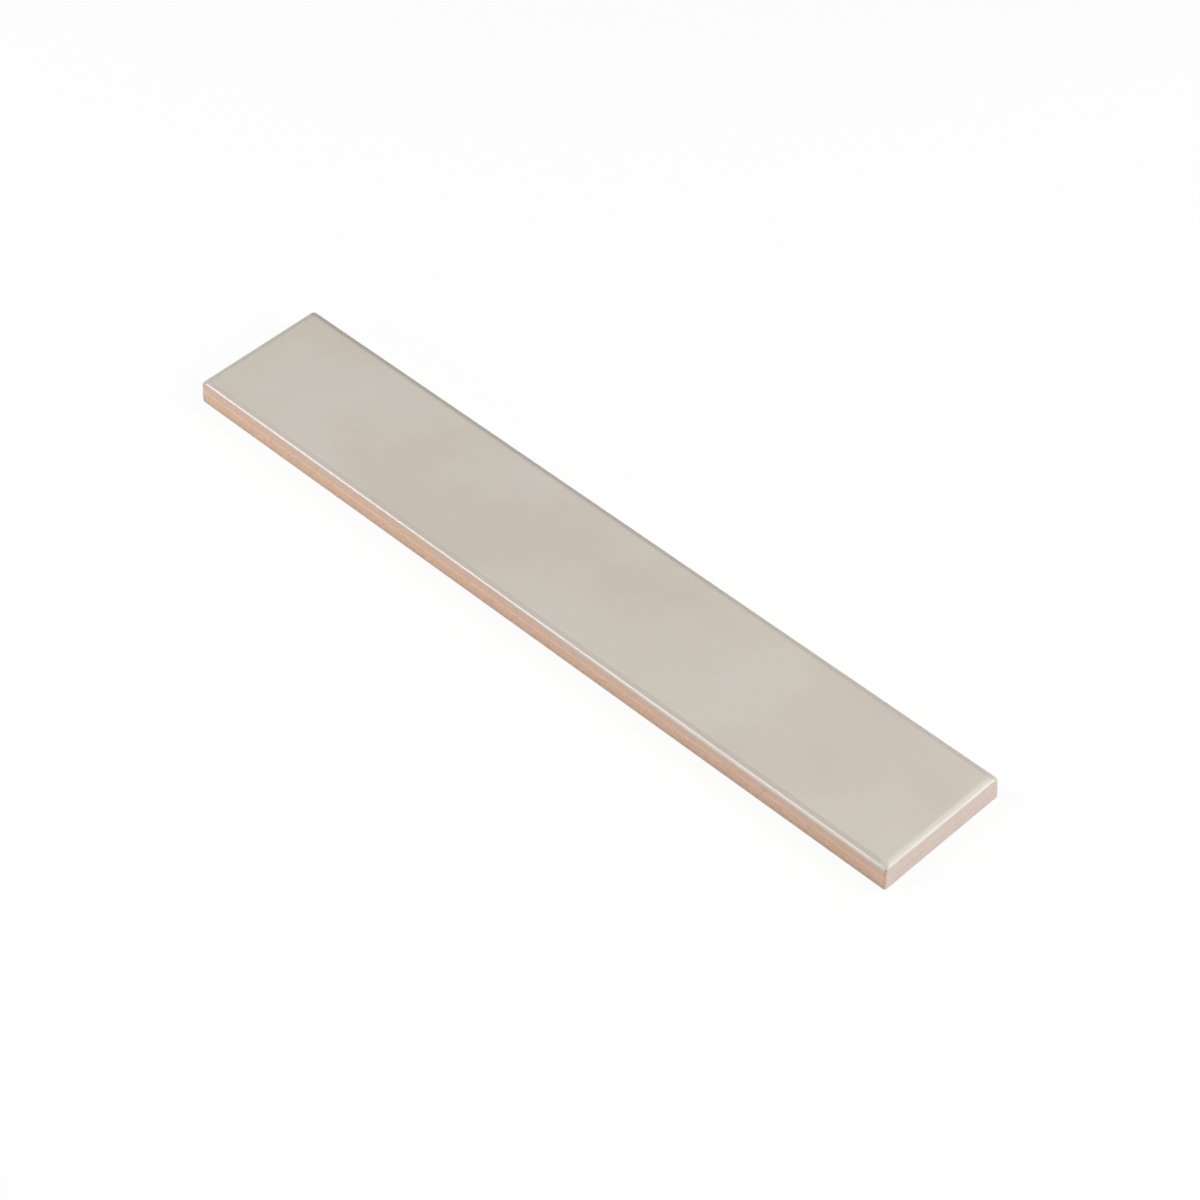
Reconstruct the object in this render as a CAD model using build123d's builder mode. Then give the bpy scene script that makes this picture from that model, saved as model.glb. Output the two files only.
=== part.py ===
import math
import os

from build123d import *

# A pressed and fired wall tile, lying on its back with the glazed face up. Millimetres.
# X runs along the length, Y across the width, and Z is up out of the face.
tile_length = 300.0
tile_width = 50.0
tile_thickness = 9.0

# Upright corners of the plan.
corner_radius = 0.6

# Cushion edge, where the face rolls over into the side: a quarter ellipse in section, the same all round.
cushion_run = 3.0
cushion_drop = 1.3
cushion_stations = 9

# Side: the lower half stands out beyond the upper half by a faint sloping ledge, left where the two halves of
# the die meet. Each half is drawn in a little away from the ledge, the upper half more.
ledge_height = 4.9
ledge_rise = 0.1
ledge_step = 0.08
upper_draw = 0.14
lower_draw = 0.02

# Easing of the lower edge.
back_bevel = 0.4

# Keying in the back: shallow channels with rounded ends, in rows along the tile, inside a plain border.
channel_width = 6.0
channel_depth = 0.7
channel_length_aim = 44.0
channel_rib = 4.0
channel_web = 4.0
back_border_min = 6.5

# Heights and insets that follow from the sizes above.
shoulder_height = tile_thickness - cushion_drop
shoulder_inset = ledge_step + upper_draw
back_land_inset = lower_draw + back_bevel

# Channels that fit between the borders, each row and column at an even pitch.
keyed_length = tile_length - 2 * back_border_min
keyed_width = tile_width - 2 * back_border_min
channel_rows = max(1, int((keyed_width + channel_rib) // (channel_width + channel_rib)))
channel_columns = max(1, round((keyed_length + channel_web) / (channel_length_aim + channel_web)))
row_pitch = channel_width + channel_rib
column_pitch = (keyed_length + channel_web) / channel_columns
channel_length = column_pitch - channel_web


def outline(height, inset):
    """Plan of the tile at a height: a rectangle drawn in all round by the inset, its corners rounded."""
    with BuildSketch(Plane.XY.offset(height)) as plan:
        RectangleRounded(tile_length - 2 * inset, tile_width - 2 * inset, corner_radius)
    return plan.sketch


def cushion_outline(station):
    """Plan of the tile at a station of the cushion edge, from the shoulder to the flat of the face."""
    turn = math.radians(90 * station / cushion_stations)
    run = cushion_run * (1 - math.cos(turn))
    rise = cushion_drop * math.sin(turn)
    return outline(shoulder_height + rise, shoulder_inset + run)


with BuildPart() as field_tile:
    # Body up to the shoulder: bevelled back edge, lower side, ledge, upper side.
    back_edge = outline(0, back_land_inset)
    bevel_top = outline(back_bevel, lower_draw)
    ledge_foot = outline(ledge_height, 0)
    ledge_top = outline(ledge_height + ledge_rise, ledge_step)
    shoulder = outline(shoulder_height, shoulder_inset)
    loft([back_edge, bevel_top, ledge_foot, ledge_top, shoulder], ruled=True)

    # Cushion edge, lofted through plans whose inset and height follow the quarter ellipse.
    loft([cushion_outline(station) for station in range(cushion_stations + 1)])

    # Keying channels pressed into the back.
    with BuildSketch(Plane.XY) as keying:
        with GridLocations(column_pitch, row_pitch, channel_columns, channel_rows):
            SlotOverall(channel_length, channel_width)
    extrude(amount=channel_depth, mode=Mode.SUBTRACT)

field_tile.part.label = "field_tile"

os.makedirs("parts", exist_ok=True)
export_step(field_tile.part, "parts/field_tile.step")
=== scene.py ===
import math

import bpy
import numpy as np
from mathutils import Matrix, Vector


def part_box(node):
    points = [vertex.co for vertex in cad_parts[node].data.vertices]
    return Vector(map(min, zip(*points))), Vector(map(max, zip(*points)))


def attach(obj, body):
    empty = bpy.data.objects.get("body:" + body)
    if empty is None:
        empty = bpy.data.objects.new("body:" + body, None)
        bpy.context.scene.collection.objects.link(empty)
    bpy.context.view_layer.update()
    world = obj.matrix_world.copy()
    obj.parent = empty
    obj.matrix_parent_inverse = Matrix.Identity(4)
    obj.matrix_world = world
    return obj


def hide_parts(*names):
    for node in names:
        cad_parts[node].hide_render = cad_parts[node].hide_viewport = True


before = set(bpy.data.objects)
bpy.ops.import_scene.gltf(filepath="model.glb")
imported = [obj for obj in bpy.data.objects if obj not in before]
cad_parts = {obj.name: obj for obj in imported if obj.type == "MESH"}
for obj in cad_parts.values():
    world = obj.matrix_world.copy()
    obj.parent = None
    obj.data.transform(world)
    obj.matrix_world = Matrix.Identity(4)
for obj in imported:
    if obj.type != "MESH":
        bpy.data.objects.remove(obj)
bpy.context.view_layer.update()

MM = 0.001

# The tile lies on its back, glazed face up, its length along X. Its three sizes come from the frame.
TILE_LOW, TILE_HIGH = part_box("field_tile")
HALF_LENGTH = (TILE_HIGH.x - TILE_LOW.x) / 2
HALF_WIDTH = (TILE_HIGH.y - TILE_LOW.y) / 2
THICKNESS = TILE_HIGH.z - TILE_LOW.z

# Section of the edge: cushion, upper side, ledge, lower side, eased lower edge.
CORNER_RADIUS = 0.6 * MM
CUSHION_RUN = 3.0 * MM
CUSHION_DROP = 1.3 * MM
LEDGE_HEIGHT = 4.9 * MM
LEDGE_RISE = 0.1 * MM
LEDGE_STEP = 0.08 * MM
UPPER_DRAW = 0.14 * MM
LOWER_DRAW = 0.02 * MM
BACK_EASING = 0.4 * MM
SHOULDER_HEIGHT = THICKNESS - CUSHION_DROP
SHOULDER_INSET = LEDGE_STEP + UPPER_DRAW

# Glaze: how far down the edge it reaches, how much further it has run toward one end and between which
# places along the tile, how its line wanders, and the fine relief of its surface. The bead's middle lies
# above the line by a share of the bead's width.
GLAZE_REACH = 0.9 * MM
GLAZE_RUN = 0.25 * MM
GLAZE_RUN_FROM = -10 * MM
GLAZE_RUN_TO = 90 * MM
GLAZE_WANDER = 0.06 * MM
GLAZE_BEAD = 0.03 * MM
GLAZE_BEAD_WIDTH = 0.14 * MM
GLAZE_BEAD_RISE = 0.9
GLAZE_STEP = 0.025 * MM
GLAZE_STEP_FADE = 1.2 * MM
GLAZE_SWELL = 0.02 * MM
GLAZE_SWELL_FADE = 6 * MM

# Waves, as wavelengths and phases: of the glaze along and across the face, of its line, and of the ledge.
SWELL_ALONG = (np.array([83, 47, 29]) * MM, np.array([0.6, 2.1, 4.4]))
SWELL_ACROSS = (np.array([38, 23]) * MM, np.array([1.3, 5.0]))
GLAZE_LINE_WAVES = (np.array([61, 23, 9.7]) * MM, np.array([0.2, 1.9, 3.3]))
LEDGE_WAVES = (np.array([97, 41, 13]) * MM, np.array([1.1, 4.0, 2.2]))

# How the face's waves lean, and the share of those along it.
SWELL_ALONG_LEAN = 0.35
SWELL_ACROSS_LEAN = -0.12
SWELL_ALONG_SHARE = 0.6

# How much rounder than pressed the upright corners are: in the glaze, from one height to another, and where
# the ledge is rubbed off, within a reach of it.
CORNER_GLAZE_ROUND = 1.0 * MM
CORNER_GLAZE_FROM = 7.3 * MM
CORNER_GLAZE_FULL = 8.6 * MM
CORNER_LEDGE_ROUND = 0.35 * MM
CORNER_LEDGE_REACH = 1.6 * MM

# Power of the cosine by which the rounding of the corners goes to nothing at the face's border.
CORNER_CLOSING = 0.25

# How far the ledge's two edges are worn round, and how the ledge wanders in height.
LEDGE_WEAR = 0.06 * MM
LEDGE_WANDER = 0.05 * MM

# Two pinholes: an open one on a corner at the glaze line, and a closed dark one in the face.
CORNER_PIT = (149.41 * MM, -24.27 * MM, 7.87 * MM)
CORNER_PIT_RADIUS = 0.31 * MM
CORNER_PIT_DEPTH = 0.2 * MM
CORNER_PIT_INWARD = (-0.6, 0.6, -0.53)
FACE_PIT = (80.3 * MM, -6.7 * MM, THICKNESS)
FACE_PIT_RADIUS = 0.32 * MM

# Keying channels in the back.
CHANNEL_WIDTH = 6.0 * MM
CHANNEL_DEPTH = 0.7 * MM
CHANNEL_LENGTH = 44.5 * MM
CHANNEL_ROWS = 4
CHANNEL_COLUMNS = 6
ROW_PITCH = 10.0 * MM
COLUMN_PITCH = 48.5 * MM
CHANNEL_WALL = 0.5 * MM

# Grid lines: pitch beside a feature, growth of the pitch with distance from it, the widest pitch, and how
# far the fine pitch reaches: from a corner, into and out of a channel's end, and both ways from its side.
FINE_PITCH = 0.34 * MM
PITCH_GROWTH = 0.34
WIDE_PITCH_X = 3.0 * MM
WIDE_PITCH_Y = 1.6 * MM
CORNER_ZONE = 1.7 * MM
CHANNEL_END_IN = 2.2 * MM
CHANNEL_END_OUT = 0.2 * MM
CHANNEL_SIDE_REACH = 0.5 * MM
PITCH_SAMPLES = 20001
NEXT_TO_NOTHING = 1e-9

# Rings down the edge: how many on the glaze, then shares of the way down the upper side, the ledge and the
# lower side, turns in degrees round the eased lower edge, and the last one's distance in from that edge.
CUSHION_RINGS = 18
UPPER_SIDE_SHARES = (0.008, 0.03, 0.07, 0.14, 0.25, 0.4, 0.58, 0.76, 0.9, 0.96)
LEDGE_SHARES = (-0.35, 0, 0.25, 0.5, 0.75, 1, 1.35)
LOWER_SIDE_SHARES = (0.04, 0.12, 0.28, 0.46, 0.64, 0.82, 1.0)
BACK_EASING_TURNS = (22.5, 45, 67.5, 90)
BACK_RIM = 0.9 * MM

# The flat of the face, inside the cushion. The grid over the back spans the same rectangle.
FLAT_X = HALF_LENGTH - SHOULDER_INSET - CUSHION_RUN
FLAT_Y = HALF_WIDTH - SHOULDER_INSET - CUSHION_RUN

# The photograph's view, from a fit of the tile's outline.
IMAGE_SIDE = 1200
FOCAL_PIXELS = 3584.8
SENSOR_WIDTH = 36.0
VIEW_AZIMUTH = math.radians(45.74)
VIEW_ELEVATION = math.radians(45.75)
VIEW_ROLL = math.radians(-1.27)
VIEW_DISTANCE = 1118.25 * MM
VIEW_AIM_X = 6.84 * MM
VIEW_AIM_Y = -3.75 * MM


def srgb(red, green, blue):
    """A colour given as it shows on a screen, 0 to 255, as linear RGBA."""
    shown = np.array([red, green, blue]) / 255
    linear = np.where(shown <= 0.04045, shown / 12.92, ((shown + 0.055) / 1.055) ** 2.4)
    return (*linear.tolist(), 1.0)


# Surfaces


def smooth_step(low, high, value):
    """0 up to low, 1 from high, and the cubic 3t^2 - 2t^3 between them."""
    t = np.clip((value - low) / (high - low), 0, 1)
    return t * t * (3 - 2 * t)


def ripple(along, wavelengths, phases):
    """Sum of sines of the given wavelengths and phases, each as tall as the first one over its place in the
    list, and the whole scaled to stay between -1 and 1."""
    order = np.arange(1, len(wavelengths) + 1)
    waves = np.sin(2 * np.pi * along[..., None] / wavelengths + phases)
    return (waves / order).sum(-1) / (1 / order).sum()


def graded_lines(half_span, spans, widest):
    """Grid lines from -half_span to half_span, evenly spaced in the integral of 1 / pitch. The pitch is
    fine inside the given spans and grows in proportion to the distance from them, up to the widest."""
    x = np.linspace(-half_span, half_span, PITCH_SAMPLES)
    gap = np.clip(np.maximum(spans[:, :1] - x, x - spans[:, 1:]), 0, None).min(0)
    density = 1 / np.minimum(FINE_PITCH + PITCH_GROWTH * gap, widest)
    total = np.concatenate([[0], np.cumsum((density[1:] + density[:-1]) / 2 * np.diff(x))])
    count = int(np.ceil(total[-1]))
    return np.interp(np.linspace(0, total[-1], count + 1), total, x)


def channel_centres(pitch, count):
    """Places of the channels' centres along one axis, at an even pitch about the middle."""
    return (np.arange(count) - (count - 1) / 2) * pitch


def keyed_back(x, y):
    """Height of the back over its plane at x, y: the channel's depth times a smooth step of the distance
    inside the nearest channel's outline, which is a straight slot with round ends."""
    across = np.abs(y[..., None] - channel_centres(ROW_PITCH, CHANNEL_ROWS)).min(-1)
    along = np.abs(x[..., None] - channel_centres(COLUMN_PITCH, CHANNEL_COLUMNS)).min(-1)
    past_straight = np.clip(along - (CHANNEL_LENGTH - CHANNEL_WIDTH) / 2, 0, None)
    depth_in = CHANNEL_WIDTH / 2 - np.hypot(past_straight, across)
    return CHANNEL_DEPTH * smooth_step(0, CHANNEL_WALL, depth_in)


def glaze_swell(x, y):
    """Long low waves of the glaze over the flat of the face: sums of sines along and across it, mixed by
    their shares, and brought to nothing at its border by a smooth step."""
    along = ripple(x + SWELL_ALONG_LEAN * y, *SWELL_ALONG)
    across = ripple(y + SWELL_ACROSS_LEAN * x, *SWELL_ACROSS)
    waves = SWELL_ALONG_SHARE * along + (1 - SWELL_ALONG_SHARE) * across
    border = np.minimum(FLAT_X - np.abs(x), FLAT_Y - np.abs(y))
    return GLAZE_SWELL * waves * smooth_step(0, GLAZE_SWELL_FADE, border)


def outline(base_x, base_y, inset, radius):
    """Plan of the tile drawn in by inset, for points of the flat's border. Beyond CORNER_ZONE from a
    corner, a point keeps its share of the side. Inside the zone it goes an even share of the way along
    what is left of the side and then round the corner's arc, to its middle."""
    on_long = np.abs(np.abs(base_y) - FLAT_Y) < NEXT_TO_NOTHING
    place = np.where(on_long, np.abs(base_x), np.abs(base_y))
    flat_half = np.where(on_long, FLAT_X, FLAT_Y)
    along_half = np.where(on_long, HALF_LENGTH, HALF_WIDTH) - inset
    across_half = np.where(on_long, HALF_WIDTH, HALF_LENGTH) - inset
    to_corner = flat_half - place
    straight_left = CORNER_ZONE - radius
    way = np.clip(1 - to_corner / CORNER_ZONE, 0, 1) * (straight_left + radius * np.pi / 4)
    turn = np.clip(way - straight_left, 0, None) / np.maximum(radius, NEXT_TO_NOTHING)
    in_zone = to_corner < CORNER_ZONE
    in_arc = in_zone & (way > straight_left)
    shared = place * (along_half - CORNER_ZONE) / (flat_half - CORNER_ZONE)
    along = np.where(in_zone, along_half - CORNER_ZONE + way, shared)
    along = np.where(in_arc, along_half - radius + radius * np.sin(turn), along)
    across = np.where(in_arc, across_half - radius + radius * np.cos(turn), across_half)
    x = np.sign(base_x) * np.where(on_long, along, across)
    y = np.sign(base_y) * np.where(on_long, across, along)
    return x, y


def soft_corner(value, width):
    """0 for values well below 0 and the value itself well above 0, with a bend of the given width between:
    half the sum of the value and the root of its square plus the width's square."""
    return (value + np.sqrt(value**2 + width**2)) / 2


def side_inset(height, ledge_height):
    """How far the clay side is drawn in at a height: the sum of the lower part of the cushion's ellipse,
    the upper side, the sloping ledge with both its edges worn round, and the lower side."""
    rise = np.clip((height - SHOULDER_HEIGHT) / CUSHION_DROP, 0, 1)
    cushion = CUSHION_RUN * (1 - np.sqrt(1 - rise**2))
    upper_height = SHOULDER_HEIGHT - LEDGE_HEIGHT - LEDGE_RISE
    upper = UPPER_DRAW * np.clip(height - ledge_height - LEDGE_RISE, 0, upper_height) / upper_height
    lower = LOWER_DRAW * np.clip(ledge_height - height, 0, None) / (LEDGE_HEIGHT - BACK_EASING)
    past_foot = soft_corner(height - ledge_height, LEDGE_WEAR)
    past_top = soft_corner(height - ledge_height - LEDGE_RISE, LEDGE_WEAR)
    ledge = LEDGE_STEP * (past_foot - past_top) / LEDGE_RISE
    return cushion + upper + lower + ledge


def corner_round(height):
    """Radius of the upright corners at a height: as pressed, and more by a smooth step up into the glaze
    and by a bell, exp(-t^2), round the ledge."""
    glazed = CORNER_GLAZE_ROUND * smooth_step(CORNER_GLAZE_FROM, CORNER_GLAZE_FULL, height)
    rubbed = CORNER_LEDGE_ROUND * np.exp(-(((height - LEDGE_HEIGHT) / CORNER_LEDGE_REACH) ** 2))
    return CORNER_RADIUS + glazed + rubbed


def edge_rings(base_x, base_y, run):
    """Rings round the tile from the face's border to the back's, each a plan at its own heights, and how
    many of them the glaze covers. The glaze follows the cushion's ellipse and ends in a bead, exp(-t^2),
    on a wandering line. Its corners grow round from the face's border down by a power of the cosine of
    the turn. The clay steps in under it, stands out at the ledge and is rounded off below."""
    run_down = GLAZE_RUN * smooth_step(GLAZE_RUN_FROM, GLAZE_RUN_TO, base_x)
    glaze_line = THICKNESS - GLAZE_REACH - run_down + GLAZE_WANDER * ripple(run, *GLAZE_LINE_WAVES)
    ledge_height = LEDGE_HEIGHT + LEDGE_WANDER * ripple(run, *LEDGE_WAVES)
    ledge_top = ledge_height + LEDGE_RISE
    last_turn = np.arcsin(1 - (THICKNESS - glaze_line) / CUSHION_DROP)
    rings = []
    for share in np.linspace(0, 1, CUSHION_RINGS + 1)[1:]:
        turn = np.pi / 2 - (np.pi / 2 - last_turn) * share
        height = THICKNESS - CUSHION_DROP * (1 - np.sin(turn))
        over_line = (height - glaze_line) / GLAZE_BEAD_WIDTH
        bead = GLAZE_BEAD * np.exp(-((over_line - GLAZE_BEAD_RISE) ** 2))
        inset = SHOULDER_INSET + CUSHION_RUN * (1 - np.cos(turn)) - bead
        rings.append((inset, height, corner_round(height) * np.cos(turn) ** CORNER_CLOSING))
    glazed = len(rings)
    for share in UPPER_SIDE_SHARES:
        height = glaze_line + (ledge_top - glaze_line) * share
        step = GLAZE_STEP * (1 - smooth_step(0, GLAZE_STEP_FADE, glaze_line - height))
        rings.append((side_inset(height, ledge_height) + step, height, corner_round(height)))
    for share in LEDGE_SHARES:
        height = ledge_top - LEDGE_RISE * share
        rings.append((side_inset(height, ledge_height), height, corner_round(height)))
    for share in LOWER_SIDE_SHARES:
        height = ledge_height + (BACK_EASING - ledge_height) * share
        rings.append((side_inset(height, ledge_height), height, corner_round(height)))
    for turn in np.radians(BACK_EASING_TURNS):
        inset = np.full_like(run, LOWER_DRAW + BACK_EASING * (1 - np.cos(turn)))
        height = np.full_like(run, BACK_EASING * (1 - np.sin(turn)))
        rings.append((inset, height, corner_round(height)))
    rim = np.full_like(run, LOWER_DRAW + BACK_EASING + BACK_RIM)
    rings.append((rim, np.zeros_like(run), corner_round(0) / 2))
    places = []
    for inset, height, radius in rings:
        x, y = outline(base_x, base_y, inset, radius)
        places.append(np.stack([x, y, height], -1))
    return np.stack(places), glazed


def corner_pit(points):
    """The points with a pit in one corner: moved in from the corner and down by the pit's depth times a
    bell of their distance from its middle, exp(-(distance / radius)^2)."""
    away = np.linalg.norm(points - np.array(CORNER_PIT), axis=-1)
    depth = CORNER_PIT_DEPTH * np.exp(-((away / CORNER_PIT_RADIUS) ** 2))
    return points + depth[..., None] * np.array(CORNER_PIT_INWARD)


def border_of(grid):
    """Entries of a grid's border, once round: along the low side, up the right, back along the top and down
    the left."""
    return np.concatenate([grid[:-1, 0], grid[-1, :-1], grid[:0:-1, -1], grid[0, :0:-1]])


def grid_quads(ids):
    """Four-cornered faces of a grid of point numbers, each turned the same way as its axes."""
    return np.stack([ids[:-1, :-1], ids[1:, :-1], ids[1:, 1:], ids[:-1, 1:]], -1).reshape(-1, 4)


def tile_mesh():
    """The whole skin of the tile: a grid over the face, rings down the edge, and a grid over the keyed
    back. Gives its points, its four-cornered faces and each face's finish, 0 for glaze and 1 for clay."""
    columns = channel_centres(COLUMN_PITCH, CHANNEL_COLUMNS)
    low_ends = columns - CHANNEL_LENGTH / 2
    high_ends = columns + CHANNEL_LENGTH / 2
    rows = channel_centres(ROW_PITCH, CHANNEL_ROWS)
    sides = np.concatenate([rows - CHANNEL_WIDTH / 2, rows + CHANNEL_WIDTH / 2])
    x_spans = np.concatenate([
        np.stack([low_ends - CHANNEL_END_OUT, low_ends + CHANNEL_END_IN], -1),
        np.stack([high_ends - CHANNEL_END_IN, high_ends + CHANNEL_END_OUT], -1),
        [[-FLAT_X, CORNER_ZONE - FLAT_X], [FLAT_X - CORNER_ZONE, FLAT_X]],
    ])
    y_spans = np.concatenate([
        np.stack([sides - CHANNEL_SIDE_REACH, sides + CHANNEL_SIDE_REACH], -1),
        [[-FLAT_Y, CORNER_ZONE - FLAT_Y], [FLAT_Y - CORNER_ZONE, FLAT_Y]],
    ])
    lines_x = graded_lines(FLAT_X, x_spans, WIDE_PITCH_X)
    lines_y = graded_lines(FLAT_Y, y_spans, WIDE_PITCH_Y)
    x, y = np.meshgrid(lines_x, lines_y, indexing="ij")
    face = np.stack([x, y, THICKNESS + glaze_swell(x, y)], -1)
    back = np.stack([x, y, keyed_back(x, y)], -1)

    base_x, base_y = border_of(x), border_of(y)
    step = np.hypot(np.diff(base_x, append=base_x[:1]), np.diff(base_y, append=base_y[:1]))
    run = np.cumsum(step) - step
    rings, glazed = edge_rings(base_x, base_y, run)
    rings = corner_pit(rings)

    points = np.concatenate([face.reshape(-1, 3), rings.reshape(-1, 3), back.reshape(-1, 3)])
    face_ids = np.arange(x.size).reshape(x.shape)
    ring_ids = x.size + np.arange(rings.shape[0] * rings.shape[1]).reshape(rings.shape[:2])
    back_ids = face_ids + x.size + ring_ids.size
    loops = np.concatenate([border_of(face_ids)[None], ring_ids, border_of(back_ids)[None]])

    after = np.roll(loops, -1, axis=1)
    face_quads = grid_quads(face_ids)
    edge_quads = np.stack([loops[:-1], loops[1:], after[1:], after[:-1]], -1).reshape(-1, 4)
    quads = np.concatenate([face_quads, edge_quads, grid_quads(back_ids)[:, ::-1]])
    glazed_quads = len(face_quads) + glazed * loops.shape[1]
    finish = (np.arange(len(quads)) >= glazed_quads).astype(np.int32)
    return points, quads, finish


def mesh_object(name, points, quads):
    """A mesh object at the origin from arrays of points and four-cornered faces, shaded smooth."""
    mesh = bpy.data.meshes.new(name)
    mesh.vertices.add(len(points))
    mesh.vertices.foreach_set("co", points.astype(np.float32).ravel())
    mesh.loops.add(quads.size)
    mesh.loops.foreach_set("vertex_index", quads.astype(np.int32).ravel())
    mesh.polygons.add(len(quads))
    mesh.polygons.foreach_set("loop_start", np.arange(0, quads.size, 4, dtype=np.int32))
    mesh.polygons.foreach_set("use_smooth", np.ones(len(quads), dtype=bool))
    mesh.update(calc_edges=True)
    mesh.validate()
    piece = bpy.data.objects.new(name, mesh)
    bpy.context.scene.collection.objects.link(piece)
    return piece


# Materials

# Share of a speck's and of a pinhole's radius over which its tone is full.
SPECK_CORE = 0.5
PIT_CORE = 0.4


class Nodes:
    """Adds nodes to a tree. An input that is given a socket is linked to it, and set to any other value."""

    def __init__(self, tree):
        self.tree = tree

    def add(self, kind, settings=None, **inputs):
        """One node, with settings as its own properties and inputs by name, a space written as _."""
        node = self.tree.nodes.new(kind)
        for key, value in (settings or {}).items():
            setattr(node, key, value)
        for key, value in inputs.items():
            self.feed(node.inputs[key.replace("_", " ")], value)
        return node

    def feed(self, socket, value):
        """A socket linked to another, or set to a value."""
        if isinstance(value, bpy.types.NodeSocket):
            self.tree.links.new(value, socket)
        else:
            socket.default_value = value

    def math(self, operation, first, second=0.0, clamp=False):
        """One math operation on two values."""
        node = self.tree.nodes.new("ShaderNodeMath")
        node.operation = operation
        node.use_clamp = clamp
        self.feed(node.inputs[0], first)
        self.feed(node.inputs[1], second)
        return node.outputs[0]

    def share(self, value, part):
        """A value times the part of it that is wanted."""
        return self.math("MULTIPLY", value, part)

    def ramp(self, value, low, high, to_low=0.0, to_high=1.0):
        """value carried smoothly from the range low..high to the range to_low..to_high."""
        ranges = {"From_Min": low, "From_Max": high, "To_Min": to_low, "To_Max": to_high}
        settings = {"interpolation_type": "SMOOTHSTEP"}
        return self.add("ShaderNodeMapRange", settings, Value=value, **ranges).outputs["Result"]

    def blend(self, factor, first, second, how="MIX"):
        """Two colours mixed by a factor."""
        node = self.tree.nodes.new("ShaderNodeMix")
        node.data_type = "RGBA"
        node.blend_type = how
        self.feed(node.inputs["Factor"], factor)
        colour_inputs = [socket for socket in node.inputs if socket.type == "RGBA"]
        self.feed(colour_inputs[0], first)
        self.feed(colour_inputs[1], second)
        return [socket for socket in node.outputs if socket.type == "RGBA"][0]


def new_group(name, inputs, outputs):
    """An empty shader node group with a Vector and float inputs and with float outputs, its node helper,
    and the sockets of its two end nodes."""
    group = bpy.data.node_groups.new(name, "ShaderNodeTree")
    group.interface.new_socket("Vector", in_out="INPUT", socket_type="NodeSocketVector")
    for key, value in inputs.items():
        socket = group.interface.new_socket(key, in_out="INPUT", socket_type="NodeSocketFloat")
        socket.default_value = value
    for key in outputs:
        group.interface.new_socket(key, in_out="OUTPUT", socket_type="NodeSocketFloat")
    nodes = Nodes(group)
    return group, nodes, nodes.add("NodeGroupInput").outputs, nodes.add("NodeGroupOutput").inputs


def mottle_group():
    """Uneven tone from the kiln: a broad cloud and a finer blotch, each from 0 to 1."""
    scales = {"Cloud Scale": 25, "Blotch Scale": 200}
    group, nodes, given, wanted = new_group("kiln_mottle", scales, ["Cloud", "Blotch"])
    place = given["Vector"]
    cloud = nodes.add("ShaderNodeTexNoise", Vector=place, Scale=given["Cloud Scale"], Detail=2.0)
    blotch = nodes.add("ShaderNodeTexNoise", Vector=place, Scale=given["Blotch Scale"], Detail=3.0)
    nodes.feed(wanted["Cloud"], nodes.ramp(cloud.outputs["Fac"], 0.3, 0.7))
    nodes.feed(wanted["Blotch"], nodes.ramp(blotch.outputs["Fac"], 0.3, 0.7))
    return group


def speck_group():
    """Small round specks, one in some cells of a random grid: 1 inside a speck and 0 elsewhere."""
    values = {"Cell Scale": 100, "Size": 0.1, "Share": 0.1}
    group, nodes, given, wanted = new_group("kiln_specks", values, ["Mask"])
    cells = nodes.add("ShaderNodeTexVoronoi", Vector=given["Vector"], Scale=given["Cell Scale"])
    lot = nodes.add("ShaderNodeSeparateColor", Color=cells.outputs["Color"]).outputs[0]
    chosen = nodes.math("LESS_THAN", lot, given["Share"])
    inner = nodes.math("MULTIPLY", given["Size"], SPECK_CORE)
    spot = nodes.ramp(cells.outputs["Distance"], given["Size"], inner)
    nodes.feed(wanted["Mask"], nodes.math("MULTIPLY", spot, chosen))
    return group


def pit_group():
    """A pinhole round the zero of its vector: 1 inside, 0 from the radius out."""
    group, nodes, given, wanted = new_group("pinhole", {"Radius": 0.3 * MM}, ["Mask"])
    away = nodes.add("ShaderNodeVectorMath", {"operation": "LENGTH"}, Vector=given["Vector"])
    inner = nodes.math("MULTIPLY", given["Radius"], PIT_CORE)
    nodes.feed(wanted["Mask"], nodes.ramp(away.outputs["Value"], given["Radius"], inner))
    return group


def place_group(nodes, group, **inputs):
    """A group node in a material, with its values."""
    node = nodes.tree.nodes.new("ShaderNodeGroup")
    node.node_tree = group
    for key, value in inputs.items():
        nodes.feed(node.inputs[key.replace("_", " ")], value)
    return node.outputs


def pit_mask(nodes, pit, place, middle, radius):
    """The mask of a pinhole round a place on the tile."""
    away = nodes.add("ShaderNodeVectorMath", {"operation": "SUBTRACT"})
    nodes.feed(away.inputs[0], place)
    away.inputs[1].default_value = middle
    return place_group(nodes, pit, Vector=away.outputs["Vector"], Radius=radius)["Mask"]


def new_material(name):
    """A material with a Principled shader, its node helper and its Object coordinates."""
    material = bpy.data.materials.new(name)
    material.use_nodes = True
    nodes = Nodes(material.node_tree)
    shader = material.node_tree.nodes["Principled BSDF"]
    return material, nodes, shader, nodes.add("ShaderNodeTexCoord").outputs["Object"]


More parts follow.
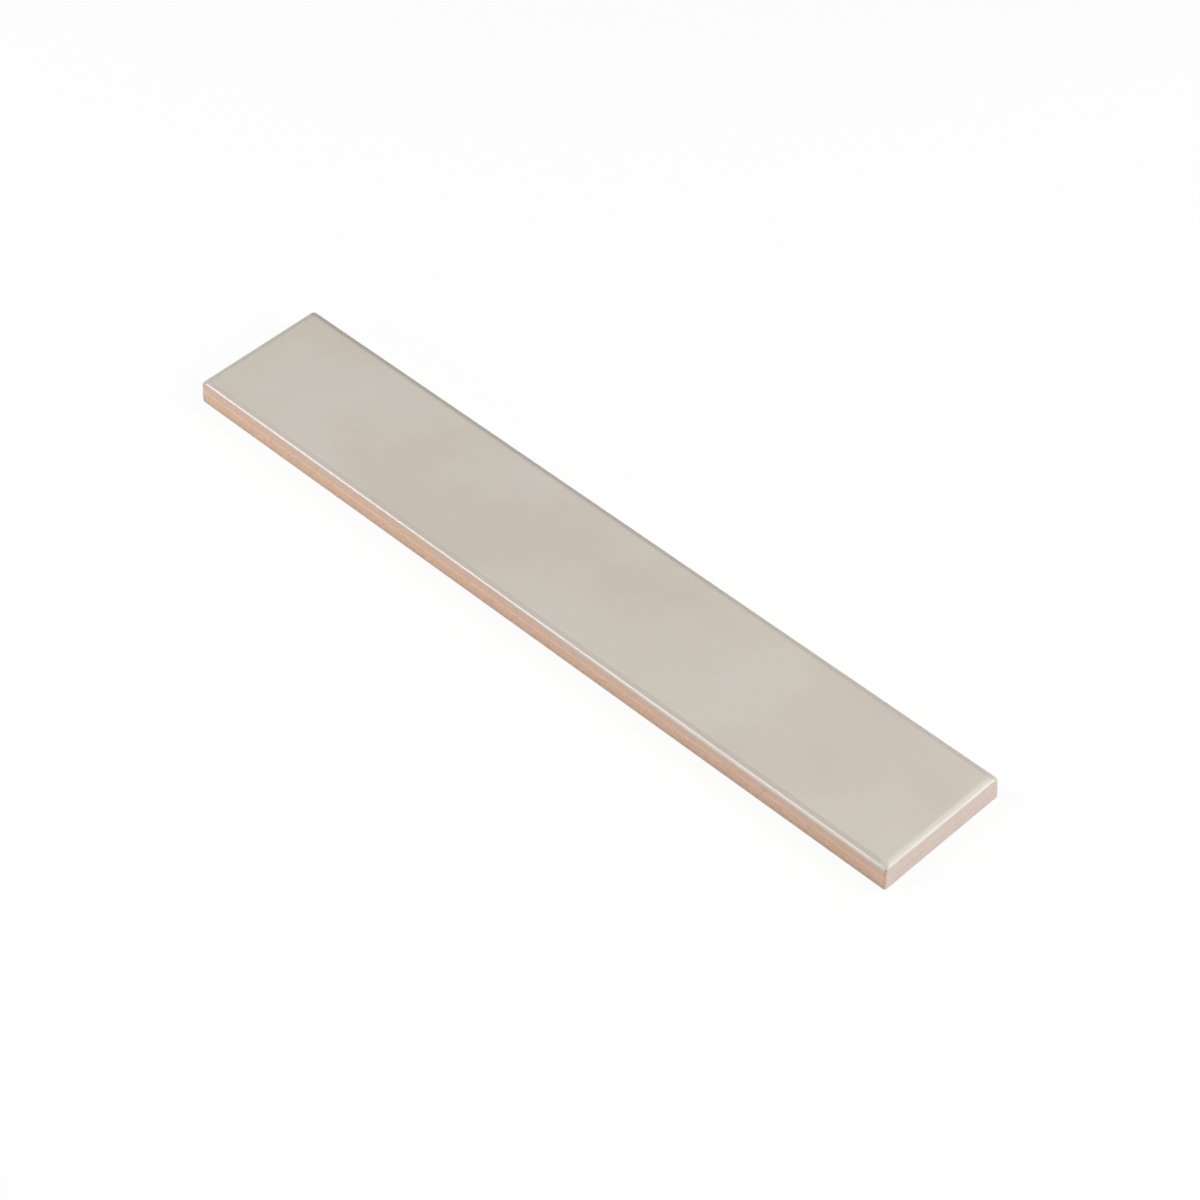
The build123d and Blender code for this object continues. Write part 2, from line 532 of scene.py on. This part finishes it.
# Tones of the glaze and of the clay.
GLAZE_PALE = srgb(202, 194, 183)
GLAZE_DEEP = srgb(196, 187, 175)
# Painted shade for the top of the cushion, where it turns from the lamps.
GLAZE_SHADED_EDGE = srgb(176, 167, 157)
GLAZE_THIN = srgb(188, 160, 143)
# Paler glaze where it has run down, partly a painted highlight widening the glint there.
GLAZE_MILK_AND_HIGHLIGHT = srgb(236, 220, 202)
GLAZE_SPECK = srgb(122, 108, 96)
PIT_BROWN = srgb(74, 62, 54)
CLAY_TAN = srgb(195, 171, 150)
CLAY_PINK = srgb(207, 176, 161)
CLAY_ORANGE = srgb(210, 169, 138)
CLAY_BROWN = srgb(172, 136, 110)
CLAY_MIST = srgb(188, 174, 164)
CLAY_RUN_MIST = srgb(190, 178, 167)
# Pale mist on the end faces, partly a painted sheen of the lit end.
CLAY_END_MIST_AND_SHEEN = srgb(202, 190, 184)
CLAY_WORN = srgb(228, 197, 174)
# Multiplier that makes the clay darker and greyer toward the lower edge.
CLAY_FOOT_DARKENING = (0.83, 0.93, 1.0, 1.0)

# How much of each tone lies over the glaze, and between which depths below the face or distances from
# the end.
GLAZE_BLOTCH_SHARE = 0.1
# Painted shade over the top of the cushion: how much, and between which depths below the face.
GLAZE_SHADED_EDGE_SHARE = 0.48
GLAZE_SHADED_EDGE_DEPTHS = (0.005 * MM, 0.08 * MM)
GLAZE_END_SHARE = 0.3
GLAZE_END_DISTANCES = (4.0 * MM, 3.0 * MM)
GLAZE_THIN_SHARES = (0.8, 0.15)
GLAZE_THIN_DEPTHS = (0.4 * MM, GLAZE_REACH)
# Paler run-down glaze, partly a painted highlight: how much, and between which depths.
GLAZE_MILK_AND_HIGHLIGHT_SHARE = 0.33
GLAZE_MILK_AND_HIGHLIGHT_DEPTHS = (0.3 * MM, 0.75 * MM)
GLAZE_SPECK_SHARE = 0.8
FACE_PIT_SHARE = 0.4
CORNER_PIT_SHARE = 0.8
GLAZE_ROUGHNESS = (0.24, 0.26)
GLAZE_IOR = 1.55

# The same for the clay, by noise levels, heights, and distances from the ledge and the ends.
CLAY_BLOTCH_SHARE = 0.9
CLAY_CLOUD_SHARE = 0.3
CLAY_TINT_SHARE = 0.25
CLAY_TINT_MOVE = (0.37, 0.21, 0.53)
STREAK_STRETCH = (0.4, 0.4, 1.0)
STREAK_SHARE = 0.16
STREAK_LEVELS = (0.42, 0.72)
STREAK_RELIEF = 0.5
DARK_GRAIN_SHARE = 0.34
DARK_GRAIN_LEVELS = (0.48, 0.68)
PALE_GRAIN_SHARE = 0.3
PALE_GRAIN_LEVELS = (0.5, 0.3)
MIST_SHARE = 0.6
WORN_LEDGE_SHARE = 0.4
WORN_LEDGE_REACH = (0.5 * MM, 0.1 * MM)
END_DISTANCES = (0.5 * MM, 0.2 * MM)
# Pale mist on the ends, partly a painted sheen, and more of it toward the bottom.
END_MIST_AND_SHEEN_SHARES = (0.45, 0.85)
LOW_MIST_AND_SHEEN_SHARE = 0.3
LOW_MIST_AND_SHEEN_HEIGHTS = (4.5 * MM, 1.0 * MM)
GRIT_SHARE = 0.35
# Darkening toward the lower edge: between which heights, and its share on the ends.
FOOT_DARKENING_HEIGHTS = (2.5 * MM, 1.2 * MM)
END_FOOT_DARKENING_SHARE = 0.2
CLAY_ROUGHNESS = (0.8, 0.92)


def glaze_finish(mottle, specks, pit):
    """Satin greige glaze: cloudy tone, painted shade over the cushion's top, thin and browner toward its
    lower line, milky where it has run down and partly a painted highlight there, with a few specks and two
    pinholes."""
    material, nodes, shader, place = new_material("satin_glaze")
    axes = nodes.add("ShaderNodeSeparateXYZ", Vector=place).outputs
    tone = place_group(nodes, mottle, Vector=place, Cloud_Scale=22.0, Blotch_Scale=420.0)
    colour = nodes.blend(tone["Cloud"], GLAZE_DEEP, GLAZE_PALE)
    colour = nodes.blend(nodes.share(tone["Blotch"], GLAZE_BLOTCH_SHARE), colour, GLAZE_DEEP)
    depth = nodes.math("SUBTRACT", THICKNESS, axes["Z"])
    # Painted shade over the top of the cushion, weaker near the lit end.
    painted_shoulder_shade = nodes.ramp(depth, *GLAZE_SHADED_EDGE_DEPTHS, 0.0, GLAZE_SHADED_EDGE_SHARE)
    to_end = nodes.math("SUBTRACT", HALF_LENGTH, axes["X"])
    off_end = nodes.ramp(to_end, *GLAZE_END_DISTANCES, 1.0, GLAZE_END_SHARE)
    colour = nodes.blend(nodes.share(painted_shoulder_shade, off_end), colour, GLAZE_SHADED_EDGE)
    run_down = nodes.ramp(axes["X"], GLAZE_RUN_FROM, GLAZE_RUN_TO)
    depth_in_run = nodes.math("SUBTRACT", depth, nodes.share(run_down, GLAZE_RUN))
    thin = nodes.ramp(depth_in_run, *GLAZE_THIN_DEPTHS)
    thin_share = nodes.ramp(run_down, 0.0, 1.0, *GLAZE_THIN_SHARES)
    colour = nodes.blend(nodes.share(thin, thin_share), colour, GLAZE_THIN)
    # Paler glaze where it has run, partly a painted highlight widening the glint along the edge.
    milk_and_highlight = nodes.ramp(depth, *GLAZE_MILK_AND_HIGHLIGHT_DEPTHS, 0.0, GLAZE_MILK_AND_HIGHLIGHT_SHARE)
    colour = nodes.blend(nodes.share(milk_and_highlight, nodes.share(run_down, off_end)), colour, GLAZE_MILK_AND_HIGHLIGHT)
    spots = place_group(nodes, specks, Vector=place, Cell_Scale=38.0, Size=0.008, Share=0.035)
    colour = nodes.blend(nodes.share(spots["Mask"], GLAZE_SPECK_SHARE), colour, GLAZE_SPECK)
    face_pit = pit_mask(nodes, pit, place, FACE_PIT, FACE_PIT_RADIUS)
    colour = nodes.blend(nodes.share(face_pit, FACE_PIT_SHARE), colour, PIT_BROWN)
    open_pit = pit_mask(nodes, pit, place, CORNER_PIT, CORNER_PIT_RADIUS)
    colour = nodes.blend(nodes.share(open_pit, CORNER_PIT_SHARE), colour, PIT_BROWN)
    nodes.feed(shader.inputs["Base Color"], colour)
    nodes.feed(shader.inputs["Roughness"], nodes.ramp(tone["Blotch"], 0.0, 1.0, *GLAZE_ROUGHNESS))
    shader.inputs["IOR"].default_value = GLAZE_IOR
    peel = nodes.add("ShaderNodeTexNoise", Vector=place, Scale=200.0, Detail=1.0)
    bump = nodes.add("ShaderNodeBump", Height=peel.outputs["Fac"], Strength=0.06, Distance=0.05 * MM)
    nodes.feed(shader.inputs["Normal"], bump.outputs["Normal"])
    return material


def clay_finish(mottle, specks, pit):
    """Bare fired clay: tan, pink and orange blotches, faint streaks along the sides left by the press, dark
    and pale grain, grit, a grey mist of glaze under the glaze line, a pale mist patchily over the ends that
    is partly a painted sheen, a pale worn ledge, and darker and greyer toward the lower edge."""
    material, nodes, shader, place = new_material("bare_clay")
    axes = nodes.add("ShaderNodeSeparateXYZ", Vector=place).outputs
    tone = place_group(nodes, mottle, Vector=place, Cloud_Scale=60.0, Blotch_Scale=520.0)
    moved = nodes.add("ShaderNodeMapping", Vector=place)
    moved.inputs["Location"].default_value = CLAY_TINT_MOVE
    tint = place_group(nodes, mottle, Vector=moved.outputs["Vector"], Cloud_Scale=130.0, Blotch_Scale=760.0)
    colour = nodes.blend(tint["Blotch"], CLAY_TAN, CLAY_PINK)
    colour = nodes.blend(nodes.ramp(tone["Blotch"], 0.0, 1.0, 0.0, CLAY_BLOTCH_SHARE), colour, CLAY_ORANGE)
    colour = nodes.blend(nodes.ramp(tone["Cloud"], 0.0, 1.0, 0.0, CLAY_CLOUD_SHARE), colour, CLAY_PINK)
    colour = nodes.blend(nodes.ramp(tint["Cloud"], 0.0, 1.0, 0.0, CLAY_TINT_SHARE), colour, CLAY_ORANGE)
    stretched = nodes.add("ShaderNodeMapping", Vector=place)
    stretched.inputs["Scale"].default_value = STREAK_STRETCH
    drawn = nodes.add("ShaderNodeTexNoise", Vector=stretched.outputs["Vector"], Scale=1500.0, Detail=3.0)
    streaks = drawn.outputs["Fac"]
    colour = nodes.blend(nodes.ramp(streaks, *STREAK_LEVELS, 0.0, STREAK_SHARE), colour, CLAY_BROWN)
    grain = nodes.add("ShaderNodeTexNoise", Vector=place, Scale=1700.0, Detail=3.0).outputs["Fac"]
    colour = nodes.blend(nodes.ramp(grain, *DARK_GRAIN_LEVELS, 0.0, DARK_GRAIN_SHARE), colour, CLAY_BROWN)
    colour = nodes.blend(nodes.ramp(grain, *PALE_GRAIN_LEVELS, 0.0, PALE_GRAIN_SHARE), colour, CLAY_WORN)
    under_glaze = nodes.ramp(axes["Z"], LEDGE_HEIGHT, THICKNESS - GLAZE_REACH, 0.0, MIST_SHARE)
    run_down = nodes.ramp(axes["X"], GLAZE_RUN_FROM, GLAZE_RUN_TO)
    colour = nodes.blend(under_glaze, colour, nodes.blend(run_down, CLAY_MIST, CLAY_RUN_MIST))
    from_ledge = nodes.math("ABSOLUTE", nodes.math("SUBTRACT", axes["Z"], LEDGE_HEIGHT + LEDGE_RISE / 2))
    worn = nodes.ramp(from_ledge, *WORN_LEDGE_REACH, 0.0, WORN_LEDGE_SHARE)
    colour = nodes.blend(worn, colour, CLAY_WORN)
    # Pale mist on the end faces, partly a painted sheen of the lit end, more toward the bottom.
    to_ends = nodes.math("SUBTRACT", HALF_LENGTH, nodes.math("ABSOLUTE", axes["X"]))
    on_ends = nodes.ramp(to_ends, *END_DISTANCES)
    patches = nodes.ramp(tint["Blotch"], 0.0, 1.0, *END_MIST_AND_SHEEN_SHARES)
    low_mist_and_sheen = nodes.ramp(axes["Z"], *LOW_MIST_AND_SHEEN_HEIGHTS, 0.0, LOW_MIST_AND_SHEEN_SHARE)
    end_mist_and_sheen = nodes.math("MULTIPLY", on_ends, nodes.math("ADD", patches, low_mist_and_sheen), clamp=True)
    colour = nodes.blend(end_mist_and_sheen, colour, CLAY_END_MIST_AND_SHEEN)
    grit = place_group(nodes, specks, Vector=place, Cell_Scale=900.0, Size=0.3, Share=0.2)
    colour = nodes.blend(nodes.share(grit["Mask"], GRIT_SHARE), colour, CLAY_BROWN)
    # Darker and greyer toward the lower edge, less on the ends.
    foot_darkening_share = nodes.ramp(on_ends, 0.0, 1.0, 1.0, END_FOOT_DARKENING_SHARE)
    foot_darkening = nodes.share(nodes.ramp(axes["Z"], *FOOT_DARKENING_HEIGHTS), foot_darkening_share)
    colour = nodes.blend(foot_darkening, colour, CLAY_FOOT_DARKENING, "MULTIPLY")
    open_pit = pit_mask(nodes, pit, place, CORNER_PIT, CORNER_PIT_RADIUS)
    colour = nodes.blend(nodes.share(open_pit, CORNER_PIT_SHARE), colour, PIT_BROWN)
    nodes.feed(shader.inputs["Base Color"], colour)
    nodes.feed(shader.inputs["Roughness"], nodes.ramp(tone["Blotch"], 0.0, 1.0, *CLAY_ROUGHNESS))
    relief = nodes.math("ADD", nodes.share(streaks, STREAK_RELIEF), grain)
    bump = nodes.add("ShaderNodeBump", Height=relief, Strength=0.85, Distance=0.1 * MM)
    nodes.feed(shader.inputs["Normal"], bump.outputs["Normal"])
    return material


# Studio

# Its paints, and how near to the camera things are still drawn.
WHITE = (1, 1, 1, 1)
FLOOR_PAINT = (0.95, 0.95, 0.95, 1)
CARD_GREY = (0.05, 0.05, 0.05, 1)
NEAREST_SEEN = 0.01


def seen_rays(nodes):
    """1 for rays from the camera, and for mirrored and transmitted ones, else 0."""
    path = nodes.add("ShaderNodeLightPath").outputs
    seen = nodes.math("MAXIMUM", path["Is Camera Ray"], path["Is Glossy Ray"])
    return nodes.math("MAXIMUM", seen, path["Is Transmission Ray"])


def white_floor(half_side, depth, own_white):
    """A plain white floor. Part of its brightness to the eye is its own, so shadows on it stay faint."""
    corners = np.array([[-1, -1], [1, -1], [1, 1], [-1, 1]]) * half_side
    points = np.concatenate([corners, np.full((4, 1), -depth)], 1)
    floor = mesh_object("floor", points, np.array([[0, 1, 2, 3]]))
    material = bpy.data.materials.new("floor_white")
    material.use_nodes = True
    tree = material.node_tree
    nodes = Nodes(tree)
    tree.nodes.remove(tree.nodes["Principled BSDF"])
    lit = nodes.add("ShaderNodeBsdfDiffuse", Color=FLOOR_PAINT)
    glow = nodes.add("ShaderNodeEmission", Color=WHITE, Strength=1.0)
    mixed = nodes.add("ShaderNodeMixShader", Fac=nodes.share(seen_rays(nodes), own_white))
    nodes.feed(mixed.inputs[1], lit.outputs[0])
    nodes.feed(mixed.inputs[2], glow.outputs[0])
    nodes.feed(tree.nodes["Material Output"].inputs["Surface"], mixed.outputs[0])
    floor.data.materials.append(material)


def dark_card(distance, width, height, azimuth):
    """A dark upright card behind the tile that only mirrored rays see, so that the far edges reflect it."""
    toward = np.array(azimuth) / np.hypot(*azimuth)
    across = np.array([-toward[1], toward[0]]) * width / 2
    left = toward * distance - across
    right = toward * distance + across
    points = np.array([[*left, 0], [*right, 0], [*right, height], [*left, height]])
    card = mesh_object("dark_card", points, np.array([[0, 1, 2, 3]]))
    material = bpy.data.materials.new("card_grey")
    material.use_nodes = True
    material.node_tree.nodes["Principled BSDF"].inputs["Base Color"].default_value = CARD_GREY
    card.data.materials.append(material)
    card.visible_camera = False
    card.visible_diffuse = False
    card.visible_shadow = False


def studio_world(ambient):
    """White surroundings to the eye, and a plain ambient light of the given strength on the object."""
    world = bpy.data.worlds.new("studio")
    world.use_nodes = True
    nodes = Nodes(world.node_tree)
    background = world.node_tree.nodes["Background"]
    background.inputs["Color"].default_value = WHITE
    nodes.feed(background.inputs["Strength"], nodes.ramp(seen_rays(nodes), 0.0, 1.0, ambient, 1.0))
    bpy.context.scene.world = world


def soft_light(name, place, aim, along, width, depth, power):
    """A rectangular soft light at a place, facing the aim, its width running along the given direction."""
    lamp = bpy.data.lights.new(name, "AREA")
    lamp.shape = "RECTANGLE"
    lamp.size = width
    lamp.size_y = depth
    lamp.energy = power
    light = bpy.data.objects.new(name, lamp)
    back = (Vector(place) - Vector(aim)).normalized()
    side = (Vector(along) - back * back.dot(Vector(along))).normalized()
    turned = Matrix((side, back.cross(side), back)).transposed().to_4x4()
    light.matrix_world = Matrix.Translation(place) @ turned
    bpy.context.scene.collection.objects.link(light)


def photo_camera():
    """The photograph's camera: turned about Z by the azimuth, raised by the elevation, rolled about its own
    axis, set back by the distance and then moved across its own view."""
    back = Vector((
        math.sin(VIEW_AZIMUTH) * math.cos(VIEW_ELEVATION),
        -math.cos(VIEW_AZIMUTH) * math.cos(VIEW_ELEVATION),
        math.sin(VIEW_ELEVATION),
    ))
    level = Vector((math.cos(VIEW_AZIMUTH), math.sin(VIEW_AZIMUTH), 0))
    upright = back.cross(level)
    right = math.cos(VIEW_ROLL) * level + math.sin(VIEW_ROLL) * upright
    up = math.cos(VIEW_ROLL) * upright - math.sin(VIEW_ROLL) * level
    camera = bpy.data.objects.new("camera", bpy.data.cameras.new("camera"))
    camera.data.sensor_width = SENSOR_WIDTH
    camera.data.lens = FOCAL_PIXELS / IMAGE_SIDE * SENSOR_WIDTH
    camera.data.clip_start = NEAREST_SEEN
    turned = Matrix((right, up, back)).transposed().to_4x4()
    place = back * VIEW_DISTANCE + right * VIEW_AIM_X + up * VIEW_AIM_Y
    camera.matrix_world = Matrix.Translation(place) @ turned
    bpy.context.scene.collection.objects.link(camera)
    bpy.context.scene.camera = camera


# The tile

points, quads, finish = tile_mesh()
tile = mesh_object("glazed_field_tile", points, quads)
mottle = mottle_group()
specks = speck_group()
pit = pit_group()
tile.data.materials.append(glaze_finish(mottle, specks, pit))
tile.data.materials.append(clay_finish(mottle, specks, pit))
tile.data.polygons.foreach_set("material_index", finish)
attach(tile, "root")
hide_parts("field_tile")

# The studio

white_floor(half_side=3.0, depth=0.05 * MM, own_white=0.9)
dark_card(distance=1.0, width=0.65, height=0.55, azimuth=(-0.7, 0.72))
studio_world(ambient=0.03)
soft_light("left_window", place=(-0.56, -0.465, 0.813), aim=(-0.05, 0, 0), along=(1, 0, 0),
           width=0.76, depth=0.17, power=6.9)
soft_light("right_window", place=(0.3, 0.475, 0.735), aim=(0.13, 0, 0), along=(1, 0, 0),
           width=0.64, depth=0.35, power=2.3)
soft_light("right_box", place=(0.62, 0.43, 0.5), aim=(0.13, 0, 0), along=(1, 0, 0),
           width=0.35, depth=0.35, power=2.6)
soft_light("front_fill", place=(-0.7, -1.1, 0.3), aim=(-0.05, 0, 0), along=(1, 0, 0),
           width=0.8, depth=0.4, power=6.0)
soft_light("end_fill", place=(1.1, 0.0, 0.4), aim=(0.15, 0, 0), along=(0, 1, 0),
           width=0.5, depth=0.4, power=4.4)
photo_camera()
bpy.context.scene.view_settings.view_transform = "Standard"
